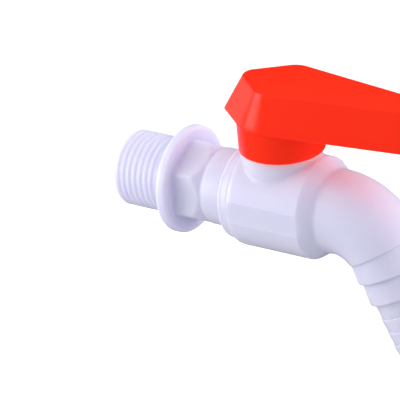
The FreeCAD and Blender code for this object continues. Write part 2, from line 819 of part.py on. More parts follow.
def make_handle():
    shell = new_body("HandleShell")
    lower, upper = head_discs(as_size(0))
    top_face = head_discs(at.top_edge_bevel)[1]
    brow = at.head_top - at.top_edge_bevel
    loft_discs(shell, "Head", lower, at.head_base, upper, brow)
    loft_discs(shell, "TopBevel", upper, brow, top_face, at.head_top)
    boss = draw_circle(new_sketch(shell, "BossPlan", XY, lift=at.boss_base), at.boss_radius)
    skirt_pad = raise_pad(shell, "Boss", boss, at.head_base - at.boss_base)
    bind(skirt_pad, "TaperAngle", at.boss_draft)
    rib_base = at.head_base + at.rib_recess
    skirt = [
        (0, at.boss_base),
        (at.skirt_radius, at.boss_base),
        (at.skirt_radius, rib_base),
        (at.hub_radius, rib_base),
        (at.hub_radius, at.square_base),
        (0, at.square_base),
    ]
    hollow = draw(new_sketch(shell, "SkirtProfile", XZ), skirt)
    revolve(shell, "Groove", "SkirtHollow", hollow, "V_Axis")
    inner = at.stop_rib_inner
    outer = at.skirt_radius + at.wall / 2
    along = cosine(at.stop_angle)
    across = sine(at.stop_angle)
    sector = [
        (inner * along, -inner * across, -inner),
        (outer * along, -outer * across),
        (outer * along, outer * across, outer),
        (inner * along, inner * across),
    ]
    stop = draw(new_sketch(shell, "StopRibPlan", XY, lift=at.stop_rib_base), sector)
    raise_pad(shell, "StopRib", stop, at.square_base - at.stop_rib_base)
    socket_width = at.square_width + at.socket_gap * 2
    socket = draw(new_sketch(shell, "SocketPlan", XY, lift=at.square_base), rectangle(socket_width, socket_width))
    sink_pocket(shell, "Socket", socket, at.socket_depth)
    lip_base = at.square_base + at.socket_depth
    lip_top = lip_base + at.lip_depth
    lip_radius = at.waist_radius + at.lip_gap
    chamber_radius = at.snap_radius + at.chamber_gap
    snap_room = [
        (0, lip_base),
        (lip_radius, lip_base),
        (lip_radius, lip_top),
        (chamber_radius, lip_top),
        (chamber_radius, at.chamber_top),
        (0, at.chamber_top),
    ]
    snap = draw(new_sketch(shell, "SnapProfile", XZ), snap_room)
    revolve(shell, "Groove", "SnapChamber", snap, "V_Axis")

    hollow_body = new_body("HandleHollow")
    ceiling = at.head_top - at.top_wall
    lower, upper = head_discs(at.wall)
    loft_discs(hollow_body, "Inside", lower, at.head_base, upper, ceiling)
    ring = new_sketch(hollow_body, "SkirtRingPlan", XY, lift=at.head_base)
    draw_circle(ring, at.boss_radius)
    draw_circle(ring, at.skirt_radius)
    sink_pocket(hollow_body, "SkirtRing", ring, at.skirt_rise)
    hub = draw_circle(new_sketch(hollow_body, "HubPlan", XY, lift=at.head_base), at.hub_radius)
    sink_pocket(hollow_body, "Hub", hub, ceiling - at.head_base)
    span = at.lever_reach * 2
    for name, length, width in (("Spine", span, at.rib_thickness), ("Cross", at.rib_thickness, span)):
        rib = draw(new_sketch(hollow_body, name + "RibPlan", XY, lift=rib_base), rectangle(length, width))
        sink_pocket(hollow_body, name + "Rib", rib, ceiling - rib_base)

    handle = doc.addObject("Part::Cut", "LeverHandle")
    handle.Base = shell
    handle.Tool = hollow_body
    return keep(handle, "lever_handle")


make_connector()
make_tap_body()
make_ball()
make_seats()
make_stem()
make_seals()
make_handle()
doc.recompute()

for item in doc.Objects:
    if {"Invalid", "Error"} & set(item.State):
        raise RuntimeError(f"{item.Name} failed: {item.State}")
for node in nodes:
    if node.Shape.isNull() or not node.Shape.isValid():
        raise RuntimeError(f"{node.Label} has no valid shape")

os.makedirs("parts", exist_ok=True)
for node in nodes:
    node.Shape.exportStep(os.path.join("parts", f"{node.Label}.step"))
    print(f"{node.Label}: {len(node.Shape.Solids)} solid, {node.Shape.Volume:.1f} mm3")
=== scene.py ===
"""A white plastic ball tap with a red lever: its finishes, fine detail, studio and camera."""

import logging
import math
from dataclasses import dataclass
from enum import Enum
from typing import Sequence

import bmesh
import bpy
from bmesh.types import BMesh, BMVert
from bpy.types import Material, Mesh, Node, Nodes, NodeTree, Object
from mathutils import Matrix, Vector


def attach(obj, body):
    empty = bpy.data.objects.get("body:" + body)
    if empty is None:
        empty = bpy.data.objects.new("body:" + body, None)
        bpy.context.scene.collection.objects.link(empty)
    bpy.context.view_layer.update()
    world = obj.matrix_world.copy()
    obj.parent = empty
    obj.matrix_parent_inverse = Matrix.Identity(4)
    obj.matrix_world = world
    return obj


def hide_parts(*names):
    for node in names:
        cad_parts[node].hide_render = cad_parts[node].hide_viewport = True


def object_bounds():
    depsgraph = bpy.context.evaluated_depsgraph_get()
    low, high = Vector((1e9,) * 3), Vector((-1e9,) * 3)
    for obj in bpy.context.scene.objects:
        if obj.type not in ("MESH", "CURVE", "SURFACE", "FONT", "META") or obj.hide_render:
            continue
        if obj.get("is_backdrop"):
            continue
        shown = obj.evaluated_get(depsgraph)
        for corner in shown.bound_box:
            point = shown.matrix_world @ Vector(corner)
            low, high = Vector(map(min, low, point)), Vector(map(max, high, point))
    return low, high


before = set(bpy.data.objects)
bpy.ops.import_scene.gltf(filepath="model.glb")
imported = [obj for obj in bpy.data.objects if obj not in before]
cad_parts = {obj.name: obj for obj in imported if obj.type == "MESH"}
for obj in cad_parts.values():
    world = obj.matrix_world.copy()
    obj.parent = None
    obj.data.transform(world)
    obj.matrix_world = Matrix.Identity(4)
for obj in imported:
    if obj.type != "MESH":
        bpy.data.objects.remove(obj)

log = logging.getLogger("bib_tap")

Point = tuple[float, float]
Triple = tuple[float, float, float]
Corner = tuple[float, ...]

MM = 0.001
IMAGE_SIZE = 400
SENSOR_WIDTH = 36.0

# Millimetres within which points are merged, and places count as the same
MERGE = 1e-4
CLOSE = 1e-3

# The stem's place along the pipe in millimetres
STEM_X = 32.7

X_AXIS = Vector((1.0, 0.0, 0.0))
Y_AXIS = Vector((0.0, 1.0, 0.0))
Z_AXIS = Vector((0.0, 0.0, 1.0))


class Body(Enum):
    """The bodies that pieces ride on."""

    HOUSING = "housing"
    LEVER = "lever"


class Slot(Enum):
    """The material slots of the pieces modelled here."""

    WHITE = "white_plastic"
    RED = "red_plastic"


# Shader node groups

def new_group(name: str, inputs: dict[str, float], outputs: Sequence[str]) -> NodeTree:
    """Make an empty shader node group.

    Args:
        name: The group's name.
        inputs: Float inputs with their defaults.
        outputs: Names of float outputs.

    Returns:
        The node group with its sockets.
    """
    group = bpy.data.node_groups.new(name, "ShaderNodeTree")
    for label, value in inputs.items():
        socket = group.interface.new_socket(name=label, in_out="INPUT", socket_type="NodeSocketFloat")
        socket.default_value = value
    for label in outputs:
        group.interface.new_socket(name=label, in_out="OUTPUT", socket_type="NodeSocketFloat")
    return group


def add_range(nodes: Nodes, bounds: Sequence[float]) -> Node:
    """Add a node that maps one span of values on another.

    Args:
        nodes: The nodes it joins.
        bounds: The low and high end of the first span, then of the second.

    Returns:
        The node.
    """
    node = nodes.new("ShaderNodeMapRange")
    for label, bound in zip(("From Min", "From Max", "To Min", "To Max"), bounds):
        node.inputs[label].default_value = bound
    return node


@dataclass(frozen=True)
class MouldGrain:
    """The faint unevenness of an injection-moulded skin, as a group with Height and Mottle outputs."""

    name: str = "mould_grain"
    wave_scale: float = 90.0
    wave_detail: float = 2.0
    grain_scale: float = 2600.0
    grain_detail: float = 3.0
    grain_share: float = 0.12

    def build(self) -> NodeTree:
        """Build the group once and return it."""
        if self.name in bpy.data.node_groups:
            return bpy.data.node_groups[self.name]
        scales = {"Wave Scale": self.wave_scale, "Grain Scale": self.grain_scale}
        group = new_group(self.name, {**scales, "Grain Share": self.grain_share}, ("Height", "Mottle"))
        nodes = group.nodes
        links = group.links
        entry = nodes.new("NodeGroupInput")
        leave = nodes.new("NodeGroupOutput")
        place = nodes.new("ShaderNodeTexCoord")
        waves = nodes.new("ShaderNodeTexNoise")
        grain = nodes.new("ShaderNodeTexNoise")
        share = nodes.new("ShaderNodeMath")
        share.operation = "MULTIPLY_ADD"
        for noise, label, detail in zip((waves, grain), scales, (self.wave_detail, self.grain_detail)):
            noise.inputs["Detail"].default_value = detail
            links.new(place.outputs["Object"], noise.inputs["Vector"])
            links.new(entry.outputs[label], noise.inputs["Scale"])
        links.new(grain.outputs["Fac"], share.inputs[0])
        links.new(entry.outputs["Grain Share"], share.inputs[1])
        links.new(waves.outputs["Fac"], share.inputs[2])
        links.new(share.outputs["Value"], leave.inputs["Height"])
        links.new(waves.outputs["Fac"], leave.inputs["Mottle"])
        return group


# Finishes

@dataclass(frozen=True)
class Moulded:
    """A moulded plastic or rubber skin.

    The colour drifts a little between two shades, the gloss varies with it, and a fine grain lifts the skin.
    """

    name: str
    shade: Triple
    other_shade: Triple
    roughness: float = 0.3
    roughness_drift: float = 0.08
    specular: float = 0.5
    coat: float = 0.0
    coat_roughness: float = 0.1
    subsurface: float = 0.0
    subsurface_radius: Triple = (0.8, 0.8, 0.9)
    grain_share: float = 0.12
    mottle_span: Point = (0.3, 0.7)
    bump: float = 0.02
    bump_depth: float = 0.1 * MM

    def build(self) -> Material:
        """Build the material once and return it."""
        if self.name in bpy.data.materials:
            return bpy.data.materials[self.name]
        material = bpy.data.materials.new(self.name)
        material.use_nodes = True
        nodes = material.node_tree.nodes
        links = material.node_tree.links
        shader = nodes["Principled BSDF"]
        uniform = {
            "Specular IOR Level": self.specular,
            "Coat Weight": self.coat,
            "Coat Roughness": self.coat_roughness,
            "Subsurface Weight": self.subsurface,
            "Subsurface Radius": self.subsurface_radius,
            "Subsurface Scale": MM,
        }
        for label, value in uniform.items():
            shader.inputs[label].default_value = value
        grain = nodes.new("ShaderNodeGroup")
        grain.node_tree = MouldGrain().build()
        grain.inputs["Grain Share"].default_value = self.grain_share
        mix = nodes.new("ShaderNodeMix")
        mix.data_type = "RGBA"
        mix.inputs["A"].default_value = (*self.shade, 1.0)
        mix.inputs["B"].default_value = (*self.other_shade, 1.0)
        drift = self.roughness_drift / 2
        gloss = add_range(nodes, (*self.mottle_span, self.roughness - drift, self.roughness + drift))
        bump = nodes.new("ShaderNodeBump")
        bump.inputs["Strength"].default_value = self.bump
        bump.inputs["Distance"].default_value = self.bump_depth
        links.new(grain.outputs["Mottle"], mix.inputs["Factor"])
        links.new(mix.outputs["Result"], shader.inputs["Base Color"])
        links.new(grain.outputs["Mottle"], gloss.inputs["Value"])
        links.new(gloss.outputs["Result"], shader.inputs["Roughness"])
        links.new(grain.outputs["Height"], bump.inputs["Height"])
        links.new(bump.outputs["Normal"], shader.inputs["Normal"])
        return material


@dataclass(frozen=True)
class Backdrop:
    """The plain pale floor, which glows a little so that it stays even."""

    name: str = "studio_floor"
    shade: Triple = (0.97, 0.97, 0.97)
    roughness: float = 0.9
    glow: float = 0.12

    def build(self) -> Material:
        """Build the floor's material."""
        material = bpy.data.materials.new(self.name)
        material.use_nodes = True
        shader = material.node_tree.nodes["Principled BSDF"]
        shader.inputs["Base Color"].default_value = (*self.shade, 1.0)
        shader.inputs["Roughness"].default_value = self.roughness
        shader.inputs["Emission Color"].default_value = (1.0, 1.0, 1.0, 1.0)
        shader.inputs["Emission Strength"].default_value = self.glow
        return material


WHITE_PLASTIC = Moulded("white_polypropylene", (0.67, 0.665, 0.83), (0.68, 0.675, 0.84),
                        roughness_drift=0.03, subsurface=0.95, subsurface_radius=(3.0, 2.8, 3.5))
RED_PLASTIC = Moulded("red_plastic_skin", (0.985, 0.019, 0.0), (0.99, 0.021, 0.0), roughness=0.29,
                      roughness_drift=0.02, specular=0.3, bump=0.015)
STEM_PLASTIC = Moulded("stem_acetal", (0.78, 0.78, 0.75), (0.82, 0.82, 0.8), roughness=0.42)
BALL_PLASTIC = Moulded("ball_polished", (0.84, 0.84, 0.82), (0.88, 0.88, 0.86), roughness=0.12, coat=0.3)
SEAT_PLASTIC = Moulded("seat_ptfe", (0.88, 0.88, 0.87), (0.92, 0.92, 0.91), roughness=0.5)
SEAL_RUBBER = Moulded("black_rubber", (0.012, 0.012, 0.012), (0.02, 0.02, 0.02), roughness=0.6,
                      grain_share=0.4, bump=0.08)

NODE_FINISH: dict[str, Moulded] = {
    "stem": STEM_PLASTIC,
    "ball": BALL_PLASTIC,
    **dict.fromkeys(("inlet_seat", "outlet_seat"), SEAT_PLASTIC),
    **dict.fromkeys(("inlet_seat_cushion", "outlet_seat_cushion", "connector_seal"), SEAL_RUBBER),
    **dict.fromkeys(("lower_stem_seal", "upper_stem_seal"), SEAL_RUBBER),
}


# Lines

def rounded(corners: Sequence[Corner], steps: int = 4, closed: bool = False) -> list[Point]:
    """Turn corners into a line with rounded bends.

    Args:
        corners: Points (along, out) in millimetres, or (along, out, radius) where the bend is rounded.
        steps: Straight pieces in each rounding.
        closed: Whether the last corner leads back to the first.

    Returns:
        The points of the line.
    """
    points: list[Point] = []
    count = len(corners)
    for index, corner in enumerate(corners):
        here = Vector(corner[:2])
        radius = corner[2] if len(corner) > 2 else 0.0
        if radius == 0.0 or (not closed and index in (0, count - 1)):
            points.append((here.x, here.y))
            continue
        before = (Vector(corners[index - 1][:2]) - here).normalized()
        after = (Vector(corners[(index + 1) % count][:2]) - here).normalized()
        half = before.angle(after) / 2
        reach = radius / math.tan(half)
        centre = here + (before + after).normalized() * (radius / math.sin(half))
        start = here + before * reach - centre
        end = here + after * reach - centre
        sweep = start.angle_signed(end)
        for step in range(steps + 1):
            turn = Matrix.Rotation(-sweep * step / steps, 2)
            spot = centre + turn @ start
            points.append((spot.x, spot.y))
    return points


def shifted(corners: Sequence[Corner], along: float, out: float) -> list[Corner]:
    """Move corners, each with its rounding, by an offset along and out."""
    return [(along + corner[0], out + corner[1], *corner[2:]) for corner in corners]


def divided(points: Sequence[Point], spacing: float, closed: bool = False) -> list[Point]:
    """Divide the pieces of a line, or of a closed ring of points, that are longer than the spacing."""
    slack = 1e-6
    ends = [*points, points[0]] if closed else points
    result = [tuple(points[0])]
    for (x0, y0), (x1, y1) in zip(ends, ends[1:]):
        parts = max(1, math.ceil(math.hypot(x1 - x0, y1 - y0) / spacing - slack))
        for part in range(1, parts + 1):
            share = part / parts
            result.append((x0 + (x1 - x0) * share, y0 + (y1 - y0) * share))
    return result[:-1] if closed else result


def quarter(steps: int) -> list[Point]:
    """The sines and cosines of the angles that divide a quarter turn into steps."""
    angles = [math.pi / 2 * step / steps for step in range(steps + 1)]
    return [(math.sin(angle), math.cos(angle)) for angle in angles]


def eased(value: float) -> float:
    """A number held between 0 and 1, with a soft start and end."""
    share = min(max(value, 0.0), 1.0)
    return share * share * (3 - 2 * share)


def soft_low(first: float, second: float, width: float) -> float:
    """The smaller of two numbers, with a soft passage of some width where they are close."""
    share = max(width - abs(first - second), 0.0) / width
    return min(first, second) - share * share * width / 4


# Meshes in millimetres

def poured(shape: BMesh, name: str) -> Mesh:
    """Put a shape into a new mesh and free it."""
    mesh = bpy.data.meshes.new(name)
    shape.to_mesh(mesh)
    shape.free()
    return mesh


def placed(name: str, data: bpy.types.ID) -> Object:
    """Make an object for a mesh, a light or a camera and put it in the scene."""
    item = bpy.data.objects.new(name, data)
    bpy.context.scene.collection.objects.link(item)
    return item


def cleaned(shape: BMesh) -> BMesh:
    """Merge the points that fall together and turn the faces outward."""
    bmesh.ops.remove_doubles(shape, verts=shape.verts, dist=MERGE)
    bmesh.ops.recalc_face_normals(shape, faces=shape.faces)
    return shape


def on_stem(shape: BMesh) -> BMesh:
    """Move a shape from the origin to the stem's place."""
    bmesh.ops.translate(shape, vec=X_AXIS * STEM_X, verts=shape.verts)
    return shape


def spun(points: Sequence[Point], axis: Vector, out: Vector, steps: int, closed: bool = True,
         angle: float = math.tau) -> BMesh:
    """Spin a line about an axis through the origin.

    Args:
        points: Places (along the axis, out from it) in millimetres.
        axis: The axis of the turn.
        out: The direction in which the line lies.
        steps: Steps in the turn.
        closed: Whether the line's last point joins its first.
        angle: The angle of the turn.

    Returns:
        The mesh.
    """
    shape = bmesh.new()
    verts = [shape.verts.new(axis * along + out * away) for along, away in points]
    edges = [shape.edges.new(pair) for pair in zip(verts, verts[1:])]
    whole = math.isclose(angle, math.tau)
    if closed:
        edges.append(shape.edges.new((verts[-1], verts[0])))
    ends = [shape.faces.new(verts)] if closed and not whole else []
    bmesh.ops.spin(shape, geom=verts + edges + ends, cent=(0.0, 0.0, 0.0), axis=axis, dvec=(0.0, 0.0, 0.0),
                   angle=angle, steps=steps, use_merge=whole, use_duplicate=False)
    return cleaned(shape)


def lofted(rows: Sequence[Sequence[Vector]]) -> BMesh:
    """Stretch a closed skin over rows of points, by extruding the first row's loop from row to row.

    Args:
        rows: Closed rows with the same number of points.

    Returns:
        The mesh, with both ends filled.
    """
    shape = bmesh.new()
    verts = [shape.verts.new(point) for point in rows[0]]
    edges = [shape.edges.new(pair) for pair in zip(verts, verts[1:] + verts[:1])]
    shape.faces.new(verts)
    for row in rows[1:]:
        made = set(bmesh.ops.extrude_edge_only(shape, edges=edges)["geom"])
        verts = [next(far for edge in vert.link_edges if (far := edge.other_vert(vert)) in made)
                 for vert in verts]
        for vert, point in zip(verts, row):
            vert.co = point
        edges = [shape.edges.get(pair) for pair in zip(verts, verts[1:] + verts[:1])]
    shape.faces.new(verts)
    return cleaned(shape)


def joined(shapes: Sequence[BMesh]) -> BMesh:
    """Put several closed shapes into the first one and free the others."""
    first = shapes[0]
    for shape in shapes[1:]:
        mesh = poured(shape, "passing")
        first.from_mesh(mesh)
        bpy.data.meshes.remove(mesh)
    return first


def rod(low: float, high: float, radius: float, steps: int) -> BMesh:
    """Make an upright rod between two heights."""
    return spun([(low, 0.0), (low, radius), (high, radius), (high, 0.0)], Z_AXIS, X_AXIS, steps, closed=False)


def sector(heights: Point, radii: Point, out: Vector, steps: int, angle: float) -> BMesh:
    """Make part of an upright, square-edged ring, which starts in a direction and turns by an angle."""
    (low, high), (inner, outer) = heights, radii
    line = [(low, inner), (low, outer), (high, outer), (high, inner)]
    return spun(line, Z_AXIS, out, steps, angle=angle)


def block(low: Triple, high: Triple) -> BMesh:
    """Make a box between two corners."""
    shape = bmesh.new()
    bmesh.ops.create_cube(shape, size=1.0)
    bmesh.ops.scale(shape, vec=Vector(high) - Vector(low), verts=shape.verts)
    bmesh.ops.translate(shape, vec=(Vector(low) + Vector(high)) / 2, verts=shape.verts)
    return shape


class Meeting(Enum):
    """The ways in which two closed shapes are made one."""

    WELD = "UNION"
    BORE = "DIFFERENCE"


def met(shape: BMesh, tool: BMesh, way: Meeting) -> BMesh:
    """Weld a closed shape to another, or bore it out of the other.

    Args:
        shape: The first shape, which is freed.
        tool: The shape that is added or taken out, which is freed.
        way: Whether the tool is welded on or bored out.

    Returns:
        The shape that they make.
    """
    blank = placed("blank", poured(shape, "blank"))
    cutter = placed("cutter", poured(tool, "cutter"))
    cut = blank.modifiers.new("meeting", "BOOLEAN")
    cut.operation = way.value
    cut.solver = "MANIFOLD"
    cut.object = cutter
    result = bmesh.new()
    result.from_object(blank, bpy.context.evaluated_depsgraph_get())
    for item in (blank, cutter):
        mesh = item.data
        bpy.data.objects.remove(item)
        bpy.data.meshes.remove(mesh)
    return result


def settle(shape: BMesh, name: str, finish: Moulded, body: Body, node: str,
           crease: float) -> Object:
    """Turn a finished shape into a dressed object that stands for a CAD node.

    Args:
        shape: The shape in millimetres, which is freed.
        name: The object's name.
        finish: Its finish.
        body: The body it rides on.
        node: The CAD node it stands for.
        crease: Edges that bend by more than this many degrees stay crisp, and marked ones do too.

    Returns:
        The object.
    """
    bmesh.ops.scale(shape, vec=(MM, MM, MM), verts=shape.verts)
    for edge in shape.edges:
        edge.smooth = edge.calc_face_angle(0.0) < math.radians(crease) and not edge.seam
        edge.seam = False
    for face in shape.faces:
        face.smooth = True
    mesh = poured(shape, name)
    mesh.materials.append(finish.build())
    item = placed(name, mesh)
    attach(item, body.value)
    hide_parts(node)
    mesh.calc_loop_triangles()
    log.info("%s: %d triangles", name, len(mesh.loop_triangles))
    return item


# Inlet connector

def set_pipe_radius(vert: BMVert, radius: float) -> None:
    """Move a point straight out or in, to a distance from the pipe's axis."""
    vert.co.yz = vert.co.yz * (radius / vert.co.yz.length)


@dataclass
class InletConnector:
    """The threaded inlet with its flange, hexagon, neck and the spigot inside the body, in millimetres."""

    thread_radius: float = 10.4775
    thread_root: float = 10.2
    thread_pitch: float = 1.814
    thread_start: float = -16.7
    thread_lead: float = 0.9
    thread_crest: float = -14.48
    thread_rows: float = 0.12
    root_share: float = 0.06
    flank_share: float = 0.8
    relief_start: float = -4.6
    relief_radius: float = 10.12
    relief_blend: float = 0.9
    bore: float = 6.4
    bore_bevel: float = 0.5
    flange_radius: float = 14.9
    flange_thickness: float = 3.45
    flange_round: float = 1.1
    flange_steps: int = 6
    hex_across: float = 20.9
    hex_length: float = 8.0
    hex_end_radius: float = 10.2
    hex_slope: float = 30.0
    hex_rows: float = 0.16
    hex_turn: float = 60.0
    hex_corner_loss: float = 0.25
    hex_bevel_rise: float = 0.2
    hex_soften: float = 0.9
    hex_fillet: float = 1.3
    hex_fillet_share: float = 0.8
    neck_start: float = 12.1
    neck_foot: float = 0.15
    neck_radius: float = 10.6
    neck_round: float = 0.3
    body_face: float = 18.7
    spigot_radius: float = 10.0
    spigot_end: float = 26.7
    spigot_round: float = 0.3
    groove: Triple = (20.0, 22.3, 8.55)
    pocket_radius: float = 8.65
    pocket_floor: float = 23.3
    steps: int = 144

    @property
    def hex_end(self) -> float:
        """Where the hexagon ends."""
        return self.flange_thickness + self.hex_length

    @property
    def hex_corner(self) -> float:
        """How far out the hexagon's sharp corners would stand."""
        return self.hex_across / math.sqrt(3)

    @property
    def lead_radius(self) -> float:
        """The radius at the thread's bevelled end, which the blank keeps along the whole thread."""
        return self.thread_radius - self.thread_lead

    def outline(self) -> list[Point]:
        """The closed outline that is spun, from the bore's left end over the outside and back."""
        lead = [(self.thread_start, self.bore + self.bore_bevel), (self.thread_start, self.lead_radius)]
        thread = divided([lead[-1], (0.0, self.lead_radius)], self.thread_rows)[1:-1]
        outer = rounded([
            (0.0, self.relief_radius),
            (0.0, self.flange_radius, self.flange_round),
            (self.flange_thickness, self.flange_radius, self.flange_round),
            (self.flange_thickness, self.hex_corner),
        ], self.flange_steps)
        hexagon = divided([outer[-1], (self.hex_end, self.hex_corner)], self.hex_rows)[1:]
        groove_left, groove_right, groove_floor = self.groove
        inner = rounded([
            (self.hex_end, self.hex_end_radius, self.neck_foot),
            (self.neck_start, self.hex_end_radius, self.neck_foot),
            (self.neck_start + self.neck_foot, self.neck_radius, self.neck_round),
            (self.body_face, self.neck_radius),
            (self.body_face, self.spigot_radius),
            (groove_left, self.spigot_radius),
            (groove_left, groove_floor),
            (groove_right, groove_floor),
            (groove_right, self.spigot_radius),
            (self.spigot_end, self.spigot_radius, self.spigot_round),
            (self.spigot_end, self.pocket_radius),
            (self.pocket_floor, self.pocket_radius),
            (self.pocket_floor, self.bore),
            (self.thread_start + self.bore_bevel, self.bore),
        ])
        return lead + thread + outer + hexagon + inner

    def thread_height(self, along: float, around: float) -> float:
        """How far out the thread's skin stands.

        Args:
            along: Place along the pipe.
            around: Angle about the pipe, as a share of a turn.

        Returns:
            The distance from the axis.
        """
        phase = ((along - self.thread_crest) / self.thread_pitch - around) % 1.0
        ramp = abs(phase - 0.5) * 2
        ridge = eased((ramp - self.root_share) / self.flank_share)
        height = self.thread_root + (self.thread_radius - self.thread_root) * ridge
        height += (self.relief_radius - height) * eased((along - self.relief_start) / self.relief_blend)
        return min(height, self.lead_radius + (along - self.thread_start))

    def cut_thread(self, shape: BMesh) -> None:
        """Move the skin of the threaded length out to the thread's crests and roots."""
        for vert in shape.verts:
            inside = self.thread_start + CLOSE < vert.co.x < -CLOSE
            if inside and abs(vert.co.yz.length - self.lead_radius) < CLOSE:
                around = math.atan2(vert.co.z, vert.co.y) / math.tau
                set_pipe_radius(vert, self.thread_height(vert.co.x, around))

    def cut_hexagon(self, shape: BMesh) -> None:
        """Press the hexagon's length in to its six flats and its bevel."""
        slope = math.tan(math.radians(self.hex_slope))
        for vert in shape.verts:
            if abs(vert.co.yz.length - self.hex_corner) > CLOSE:
                continue
            around = math.degrees(math.atan2(vert.co.z, vert.co.y))
            from_flat = (around + self.hex_turn / 2) % self.hex_turn - self.hex_turn / 2
            flat = self.hex_across / 2 / math.cos(math.radians(from_flat))
            bevel = self.hex_end_radius + (self.hex_end - vert.co.x) * slope
            radius = soft_low(flat, self.hex_corner - self.hex_corner_loss, self.hex_soften)
            radius = soft_low(min(radius, bevel + self.hex_bevel_rise), bevel, self.hex_soften / 2)
            near = max(1 - (vert.co.x - self.flange_thickness) / self.hex_fillet, 0.0)
            radius += self.hex_fillet * (1 - math.sqrt(1 - near * near)) * self.hex_fillet_share
            set_pipe_radius(vert, radius)

    def build(self) -> Object:
        """Build and dress the connector."""
        shape = spun(self.outline(), X_AXIS, Y_AXIS, self.steps)
        self.cut_thread(shape)
        self.cut_hexagon(shape)
        bmesh.ops.recalc_face_normals(shape, faces=shape.faces)
        return settle(shape, "connector", WHITE_PLASTIC, Body.HOUSING, "inlet_connector", 42.0)


# Tap body

@dataclass
class TapBody:
    """The housing, its collar, the spout and the hose tail in one moulding, in millimetres.

    The corners of rim_band, end_band and shoulder are (along, out, rounding), measured from the rim's bevel,
    the band's end and the band's end at the body's radius. Those of collar_foot are (up, out) from the foot.
    """

    face: float = 18.7
    rim_radius: float = 12.2
    rim_bevel: float = 0.7
    rim_band: Sequence[Triple] = ((-0.3, -0.2, 0.1), (-0.1, 0.1, 0.12), (0.35, 0.1, 0.12), (0.5, -0.05, 0.1))
    band_end: float = 21.7
    band_radius: float = 13.35
    band_step: float = 0.15
    band_slope: float = 0.19
    end_band: Sequence[Triple] = ((-0.1, -0.25, 0.1), (-0.05, 0, 0.1), (0.35, 0.05, 0.12), (0.4, -0.05, 0.1))
    shoulder: Sequence[Triple] = ((0.95, -0.16, 1.2), (2.2, 0.0, 0.8))
    shoulder_end: float = 23.6
    body_radius: float = 14.2
    body_right: float = 44.7
    body_right_round: float = 0.6
    cone_angle: float = 34.0
    cone_round: float = 2.0
    flat_distance: float = 13.87
    flat_end_distance: float = 11.45
    flat_depth: float = 0.04
    flat_crease: float = 6.0
    flat_start: float = 22.2
    flat_side: float = 10.35
    flat_run: float = 0.8
    spout_start: float = 50.24
    spout_radius: float = 11.57
    spout_end_radius: float = 10.68
    bend_radius: float = 15.68
    bend_angle: float = 65.52
    taper_angle: float = 59.56
    taper_rounds: Point = (0.15, 0.1)
    tier_one: Triple = (4.9, 10.3, 10.55)
    tier_two: Triple = (11.5, 9.45, 9.85)
    tier_round: float = 0.6
    tier_foot: float = 0.25
    barb_first: float = 15.94
    barb_pitch: float = 3.94
    barb_count: int = 5
    barb_radius: float = 8.75
    barb_step: float = 0.15
    barb_fall: float = 0.45
    barb_round: float = 0.12
    barb_root: Point = (8.67, 8.4)
    end_bevel: float = 0.8
    end_round: float = 0.3
    bore: float = 6.0
    pocket_floor: float = 42.1
    pocket_mouth: float = 38.7
    pocket_radius: float = 8.65
    cavity_radius: float = 10.05
    cavity_skin: float = 0.2
    row_spacing: float = 0.8
    collar_radius: float = 10.8
    collar_height: float = 15.2
    collar_fillet: float = 0.9
    collar_round: float = 0.35
    collar_foot: tuple[Point, Point] = ((-1.2, -1.8), (-0.8, 0.03))
    foot_mark: float = 100.0
    foot_steps: int = 6
    stop_radius: float = 9.4
    stop_height: float = 17.4
    stop_window: Point = (11.5, 113.0)
    stop_sink: float = 0.3
    stop_overlap: float = 0.5
    stop_steps: int = 72
    bonnet_radius: float = 8.0
    bonnet_height: float = 19.6
    bonnet_round: float = 0.3
    bonnet_bevel: float = 0.4
    stem_bore: float = 5.17
    counterbore: float = 6.32
    counterbore_steps: int = 96
    ledge: float = 12.2
    steps: int = 144

    @property
    def tail_start(self) -> float:
        """Where the straight tail begins, measured along the centre line."""
        return self.spout_start + self.bend_radius * math.radians(self.bend_angle)

    def tail_line(self) -> list[Corner]:
        """The corners of the tail's two tiers, its barbs and its bevelled end."""
        one_end, one_low, one_high = self.tier_one
        two_end, two_low, two_high = self.tier_two
        corners: list[Corner] = [
            (0.0, one_low),
            (one_end, one_high, self.tier_round),
            (one_end, two_low, self.tier_foot),
            (two_end, two_high, self.tier_round),
            (two_end, self.barb_root[0], self.tier_foot),
            (self.barb_first, self.barb_root[1]),
        ]
        for index in range(self.barb_count - 1):
            place = self.barb_first + self.barb_pitch * index
            crest = self.barb_radius - self.barb_step * index
            corners.append((place, crest, self.barb_round))
            corners.append((place + self.barb_pitch, crest - self.barb_fall))
        end, low = corners.pop()
        corners.append((end - self.end_bevel, low, self.end_round))
        corners.append((end, low - self.end_bevel, self.end_round))
        corners.append((end, self.bore, self.end_round))
        return shifted(corners, self.tail_start, 0.0)

    def outer_line(self) -> list[Point]:
        """The outside from the face to the tail's end, as if the spout were straight."""
        slope = math.radians(self.cone_angle)
        cone_end = self.body_right + (self.body_radius - self.spout_radius) / math.tan(slope)
        taper_end = self.spout_start + self.bend_radius * math.radians(self.taper_angle)
        taper_round, foot_round = self.taper_rounds
        return rounded([
            (self.face, self.rim_radius),
            *shifted(self.rim_band, self.face + self.rim_bevel, self.rim_radius + self.rim_bevel),
            *shifted(self.end_band, self.band_end, self.band_radius + self.band_step),
            *shifted(self.shoulder, self.band_end, self.body_radius),
            (self.body_right, self.body_radius, self.body_right_round),
            (cone_end, self.spout_radius, self.cone_round),
            (self.spout_start, self.spout_radius),
            (taper_end, self.spout_end_radius, taper_round),
            (taper_end, self.tier_one[1], foot_round),
            *self.tail_line(),
        ])

